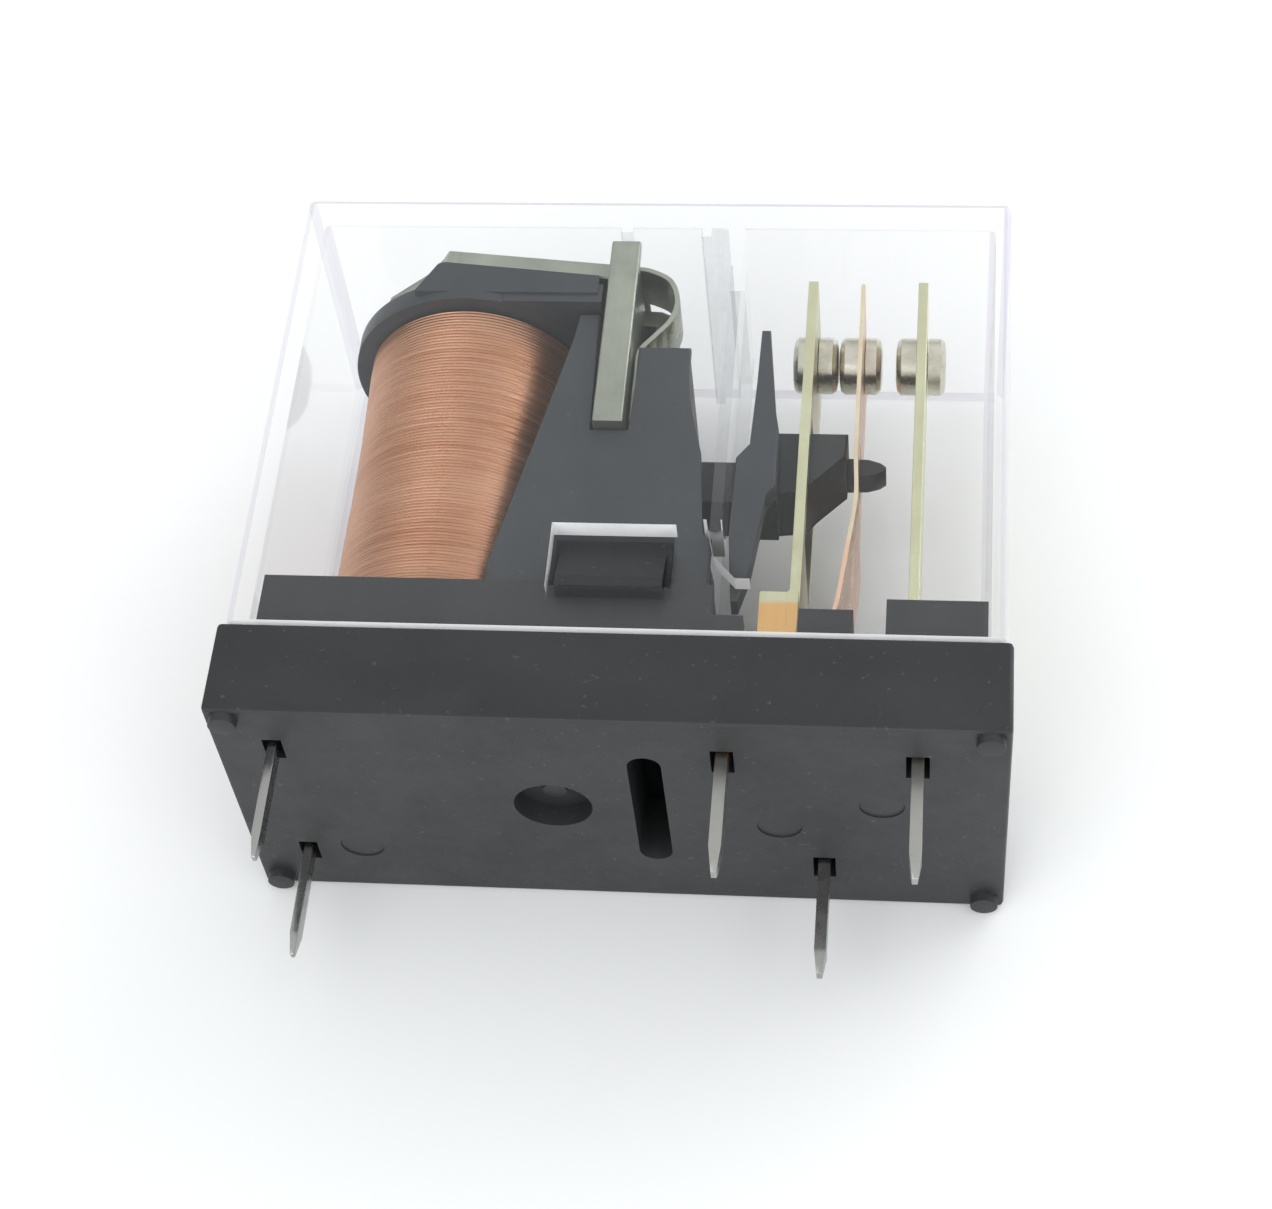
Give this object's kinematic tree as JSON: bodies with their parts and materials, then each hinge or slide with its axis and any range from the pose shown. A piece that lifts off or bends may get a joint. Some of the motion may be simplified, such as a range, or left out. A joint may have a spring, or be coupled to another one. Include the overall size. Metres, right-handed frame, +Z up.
{
  "type": "power relay",
  "caption": "Board-mounted changeover power relay with a clear cover, black base, wound coil, hinged armature, sliding card and flat pins, lying on its side.",
  "frame": {"origin": "centre of the bounding box footprint, on the surface that the relay lies on", "axes": "+Z up from the side it lies on, through its thickness; -Y the way the pins point; +X from the coil end to the contact end"},
  "size_m": [0.029, 0.0296, 0.0128],
  "materials": {
    "clear_cover": "clear, polished moulding",
    "black_base": "fine matt moulding",
    "black_inner": "matt moulding",
    "coil_wire": "enamelled copper wire, satin",
    "plated_iron": "dull plated iron",
    "spring_steel": "bright rolled strip",
    "pale_brass": "pale rolled strip",
    "tinned_pin": "tinned, bright",
    "contact_silver": "turned, satin",
    "copper_alloy": "rolled copper alloy strip"
  },
  "bodies": {
    "relay_body": {"cover": "clear_cover", "base": "black_base", "insulation_frame": "black_inner", "bobbin": "black_inner", "coil_winding": "coil_wire", "coil_core": "plated_iron", "yoke": "plated_iron", "hinge_spring": "spring_steel", "nc_terminal": "pale_brass", "no_terminal": "pale_brass", "com_terminal": "tinned_pin", "coil_terminal_a": "tinned_pin", "coil_terminal_b": "tinned_pin", "coil_lead_a": "coil_wire", "coil_lead_b": "coil_wire", "spring_rivet_a": "contact_silver", "spring_rivet_b": "contact_silver", "nc_contact": "contact_silver", "no_contact": "contact_silver"},
    "armature": {"armature": "plated_iron"},
    "card": {"card": "black_inner"},
    "contact_spring": {"moving_spring": "copper_alloy", "moving_contact": "contact_silver"}
  },
  "joints": [
    {"name": "armature_hinge", "type": "hinge", "parent": "relay_body", "child": "armature", "pos_m": [-0.0004, 0.01175, 0.0064], "axis": [0, 0, 1], "range_deg": [0, 5.5], "stiffness_Nm_per_rad": 0.002},
    {"name": "card_slide", "type": "slide", "parent": "relay_body", "child": "card", "axis": [1, 0, 0], "range_m": [0, 0.00055]},
    {"name": "contact_spring_flex", "type": "hinge", "parent": "relay_body", "child": "contact_spring", "pos_m": [0.00785, -0.00375, 0.0065], "axis": [0, 0, 1], "range_deg": [-1.88, 0]}
  ],
  "couplings": [
    {"joint": "card_slide", "follows": "armature_hinge", "m_per_rad": 0.0057},
    {"joint": "contact_spring_flex", "follows": "armature_hinge", "ratio": -0.34}
  ]
}
